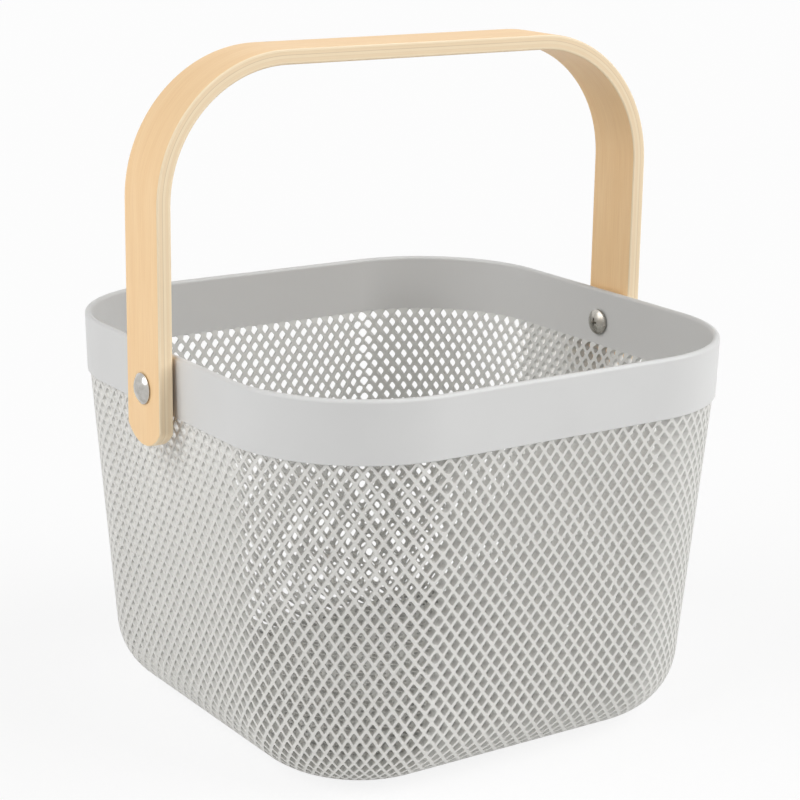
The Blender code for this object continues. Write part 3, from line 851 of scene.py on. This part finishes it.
# Figure of the peeled veneer: bands about 6 mm wide and 60 mm long that wander along the strip
figure_scale = [1 / (size * MM) for size in (60, 6, 20)]
figure_place = add_node(tree, "ShaderNodeVectorMath", {0: strip_place, 1: figure_scale},
                        operation="MULTIPLY").outputs[0]
figure = add_node(tree, "ShaderNodeTexNoise",
                  {"Vector": figure_place, "Scale": 1.0, "Detail": 2.0, "Distortion": 0.6}).outputs["Fac"]
veneer = add_node(tree, "ShaderNodeMix", {0: figure, 6: linear("FFDEAF"), 7: linear("F5CD98")},
                  data_type="RGBA").outputs[2]
fibre_share = add_node(tree, "ShaderNodeMapRange",
                       {"Value": fibres, "From Min": 0.35, "From Max": 0.75,
                        "To Max": 0.35}).outputs["Result"]
veneer = add_node(tree, "ShaderNodeMix", {0: fibre_share, 6: veneer, 7: linear("E3B683")},
                  data_type="RGBA").outputs[2]
# Plies across the edge, counted from the inner face
depth = add_node(tree, "ShaderNodeSeparateXYZ", {0: strip_place}).outputs["Z"]
ply_count = add_node(tree, "ShaderNodeMath", {0: depth, 1: 1 / (PLY * MM)},
                     operation="MULTIPLY").outputs[0]
ply_wave = add_node(tree, "ShaderNodeMath", {0: ply_count, 1: 1.0}, operation="PINGPONG").outputs[0]
cross_ply = add_node(tree, "ShaderNodeMath", {0: ply_count, 1: 2.0}, operation="MODULO").outputs[0]
cross_ply = add_node(tree, "ShaderNodeMath", {0: cross_ply, 1: 1.0}, operation="GREATER_THAN").outputs[0]
edge_wood = add_node(tree, "ShaderNodeMix", {0: cross_ply, 6: linear("F8E4C4"), 7: linear("F4DDBA")},
                     data_type="RGBA").outputs[2]
edge_grain = add_node(tree, "ShaderNodeMapRange",
                      {"Value": fibres, "From Min": 0.3, "From Max": 0.8,
                       "To Max": 0.3}).outputs["Result"]
edge_wood = add_node(tree, "ShaderNodeMix", {0: edge_grain, 6: edge_wood, 7: linear("E8CDA2")},
                     data_type="RGBA").outputs[2]
glue = add_node(tree, "ShaderNodeMapRange",
                {"Value": ply_wave, "From Min": 0.0, "From Max": GLUE_LINE,
                 "To Min": GLUE_TINT, "To Max": 0.0}).outputs["Result"]
# The third glue line is a dark one
from_third = add_node(tree, "ShaderNodeMath", {0: ply_count, 1: 3.0}, operation="SUBTRACT").outputs[0]
from_third = add_node(tree, "ShaderNodeMath", {0: from_third}, operation="ABSOLUTE").outputs[0]
dark_line = add_node(tree, "ShaderNodeMapRange",
                     {"Value": from_third, "From Min": 0.0, "From Max": DARK_GLUE_LINE,
                      "To Min": DARK_GLUE_TINT, "To Max": 0.0}).outputs["Result"]
glue = add_node(tree, "ShaderNodeMath", {0: glue, 1: dark_line}, operation="MAXIMUM").outputs[0]
edge_wood = add_node(tree, "ShaderNodeMix", {0: glue, 6: edge_wood, 7: linear("B08D5F")},
                     data_type="RGBA").outputs[2]
# The cut edge lies between the two face veneers
centred = add_node(tree, "ShaderNodeMath", {0: depth, 1: THICKNESS / 2 * MM},
                   operation="SUBTRACT").outputs[0]
centred = add_node(tree, "ShaderNodeMath", {0: centred}, operation="ABSOLUTE").outputs[0]
is_edge = add_node(tree, "ShaderNodeMapRange",
                   {"Value": centred, "From Min": EDGE_TO_FACE[0] * MM, "From Max": EDGE_TO_FACE[1] * MM,
                    "To Min": 1.0, "To Max": 0.0}).outputs["Result"]
wood = add_node(tree, "ShaderNodeMix", {0: is_edge, 6: veneer, 7: edge_wood}, data_type="RGBA").outputs[2]
# The fibres stand up a little through the varnish, by 0.08 mm, and dull it
dull = add_node(tree, "ShaderNodeMapRange",
                {"Value": fibres, "To Min": 0.42, "To Max": 0.6}).outputs["Result"]
pores = add_node(tree, "ShaderNodeBump",
                 {"Height": fibres, "Strength": 0.25, "Distance": 0.08 * MM}).outputs["Normal"]
tree.links.new(wood, shader.inputs["Base Color"])
tree.links.new(dull, shader.inputs["Roughness"])
tree.links.new(pores, shader.inputs["Normal"])

handle = new_piece("birch_bow_handle", strip_mesh, material)
soft_edges(handle, angle=45)
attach(handle, "handle")
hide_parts("bow_handle")


# Studio
# A plain white floor and backdrop under soft light from the left and the right front, seen by a
# camera at the photograph's place. The light level shows a colour about as it is written.

# The floor reaches this many metres to each side. Its glow is the share of its white that is its
# own, and the rest takes the shadow. A softbox is given by its direction and strength
FLOOR_REACH = 20.0
FLOOR_GLOW = 0.86
HORIZON_LIGHT = 0.40
TOP_LIGHT = 0.0
SOFTBOX_SPREAD = 50
SOFTBOXES = {"left_softbox": ((-0.78, 0.07, 0.62), 1.69), "right_softbox": ((0.58, -0.53, 0.62), 2.25)}


def seen_directly(tree):
    """Socket that is 1 for what the camera, a reflection or a clear surface sees, and 0 for light."""
    rays = add_node(tree, "ShaderNodeLightPath").outputs
    seen = rays["Is Camera Ray"]
    for ray in ("Is Glossy Ray", "Is Transmission Ray"):
        seen = add_node(tree, "ShaderNodeMath", {0: seen, 1: rays[ray]}, operation="MAXIMUM").outputs[0]
    return seen


# Matt white paint, which shows as even white and darkens softly round the basket's foot
floor_corners = [(x * FLOOR_REACH, y * FLOOR_REACH, 0) for x, y in ((-1, -1), (1, -1), (1, 1), (-1, 1))]
floor_mesh = bpy.data.meshes.new("studio_floor")
floor_mesh.from_pydata(floor_corners, [], [(0, 1, 2, 3)])
material, tree, shader = new_material("matt_white_floor",
                                      {"Base Color": linear("F4F4F4"), "Roughness": 0.9,
                                       "Specular IOR Level": 0.1})
glow_share = add_node(tree, "ShaderNodeMath", {0: seen_directly(tree), 1: FLOOR_GLOW},
                      operation="MULTIPLY").outputs[0]
glow = add_node(tree, "ShaderNodeEmission", {"Color": (1, 1, 1, 1), "Strength": 1.0})
surface = add_node(tree, "ShaderNodeMixShader", {0: glow_share, 1: shader.outputs[0], 2: glow.outputs[0]})
tree.links.new(surface.outputs[0], tree.nodes["Material Output"].inputs["Surface"])
floor = new_piece("studio_floor", floor_mesh, material)

# The world is white where it is seen, and its light falls off from the horizon to the top
world = bpy.data.worlds.new("white_studio")
bpy.context.scene.world = world
world.use_nodes = True
tree = world.node_tree
towards = add_node(tree, "ShaderNodeTexCoord").outputs["Generated"]
up = add_node(tree, "ShaderNodeSeparateXYZ", {0: towards}).outputs["Z"]
fall_off = add_node(tree, "ShaderNodeMapRange",
                    {"Value": up, "To Min": HORIZON_LIGHT, "To Max": TOP_LIGHT}).outputs["Result"]
level = add_node(tree, "ShaderNodeMix", {0: seen_directly(tree), 2: fall_off, 3: 1.0}).outputs[0]
tree.nodes["Background"].inputs["Color"].default_value = (1, 1, 1, 1)
tree.links.new(level, tree.nodes["Background"].inputs["Strength"])

for name, (towards, strength) in SOFTBOXES.items():
    lamp = bpy.data.lights.new(name, "SUN")
    lamp.energy = strength
    lamp.angle = math.radians(SOFTBOX_SPREAD)
    softbox = bpy.data.objects.new(name, lamp)
    softbox.rotation_euler = Vector(towards).to_track_quat("Z", "Y").to_euler()
    bpy.context.scene.collection.objects.link(softbox)

# Camera, placed and turned so that the rim, the base and the handle lie as in the photograph
CAMERA_PLACE = Vector((-554.87, -822.02, 414.32)) * MM
CAMERA_FORWARD = Vector((0.5411, 0.7988, -0.2628)).normalized()
CAMERA_ROLL = math.radians(0.917)
CAMERA_LENS = 98.0
CAMERA_SENSOR = 36.0

camera_data = bpy.data.cameras.new("photo_camera")
camera_data.sensor_width = CAMERA_SENSOR
camera_data.lens = CAMERA_LENS
camera = bpy.data.objects.new("photo_camera", camera_data)
level_right = CAMERA_FORWARD.cross(Vector((0, 0, 1))).normalized()
level_up = level_right.cross(CAMERA_FORWARD)
right = math.cos(CAMERA_ROLL) * level_right + math.sin(CAMERA_ROLL) * level_up
up = -math.sin(CAMERA_ROLL) * level_right + math.cos(CAMERA_ROLL) * level_up
turn = Matrix((right, up, -CAMERA_FORWARD)).transposed().to_4x4()
camera.matrix_world = Matrix.Translation(CAMERA_PLACE) @ turn
bpy.context.scene.collection.objects.link(camera)
bpy.context.scene.camera = camera

bpy.context.scene.view_settings.view_transform = "Standard"
